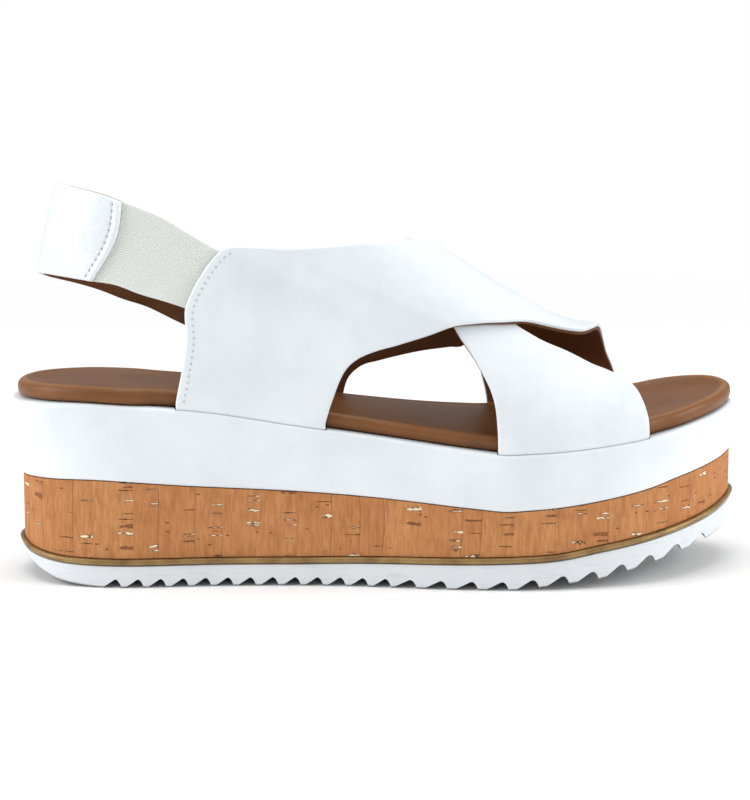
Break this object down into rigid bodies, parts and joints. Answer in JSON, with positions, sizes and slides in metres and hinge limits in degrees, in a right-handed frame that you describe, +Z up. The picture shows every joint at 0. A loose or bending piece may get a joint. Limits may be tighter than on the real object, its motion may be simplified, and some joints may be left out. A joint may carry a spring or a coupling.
{
  "type": "wedge sandal",
  "caption": "Slingback sandal with crossed leather straps, an elastic heel sling and a cork-wrapped platform wedge on a saw-tooth sole.",
  "frame": {"origin": "middle of the sandal's box, on the ground under the tread's flat stretch", "axes": "+X to the toe, -Y to the outer side of the foot (right shoe), +Z up"},
  "size_m": [0.269, 0.09, 0.1427],
  "materials": {
    "outer_sole_rubber": "matte moulded rubber",
    "rand_satin": "satin gold-tan coated strip",
    "core_foam": "closed-cell foam",
    "cork_sheet": "cork sheet with dark flecks and pale chips, sealed satin",
    "white_leather": "smooth white leather, soft sheen",
    "board_fibre": "pressed fibre board",
    "footbed_foam": "soft foam",
    "footbed_leather": "smooth brown leather, waxed sheen",
    "lining_leather": "matte brown lining leather",
    "elastic_web": "ribbed woven elastic",
    "thread_pale": "twisted sewing thread",
    "tape_white": "woven reinforcing tape"
  },
  "bodies": {
    "sandal": {"outsole": "outer_sole_rubber", "rand": "rand_satin", "wedge_core": "core_foam", "cork_wrap": "cork_sheet", "platform_core": "core_foam", "platform_wrap": "white_leather", "insole_board": "board_fibre", "footbed_foam": "footbed_foam", "footbed_cover": "footbed_leather", "under_strap_leather": "white_leather", "under_strap_lining": "lining_leather", "over_strap_leather": "white_leather", "over_strap_lining": "lining_leather", "outer_seam_thread": "thread_pale", "inner_seam_thread": "thread_pale"},
    "sling": {"elastic_gore": "elastic_web", "inner_sling_leather": "white_leather", "inner_sling_lining": "lining_leather"},
    "heel_piece": {"heel_strap_leather": "white_leather", "heel_strap_lining": "lining_leather", "heel_strap_tape": "tape_white", "heel_end_thread": "thread_pale"}
  },
  "joints": [
    {"name": "sling_fold", "type": "hinge", "parent": "sandal", "child": "sling", "pos_m": [-0.06355, 0.00149, 0.106], "axis": [0, 1, 0], "range_deg": [-32, 14], "stiffness_Nm_per_rad": 0.15, "deforming": ["elastic_gore", "inner_sling_leather", "inner_sling_lining"]},
    {"name": "sling_stretch", "type": "slide", "parent": "sling", "child": "heel_piece", "axis": [-0.93, 0, 0.3676], "range_m": [0, 0.01], "stiffness_N_per_m": 400, "deforming": ["elastic_gore", "inner_sling_leather", "inner_sling_lining"]}
  ]
}
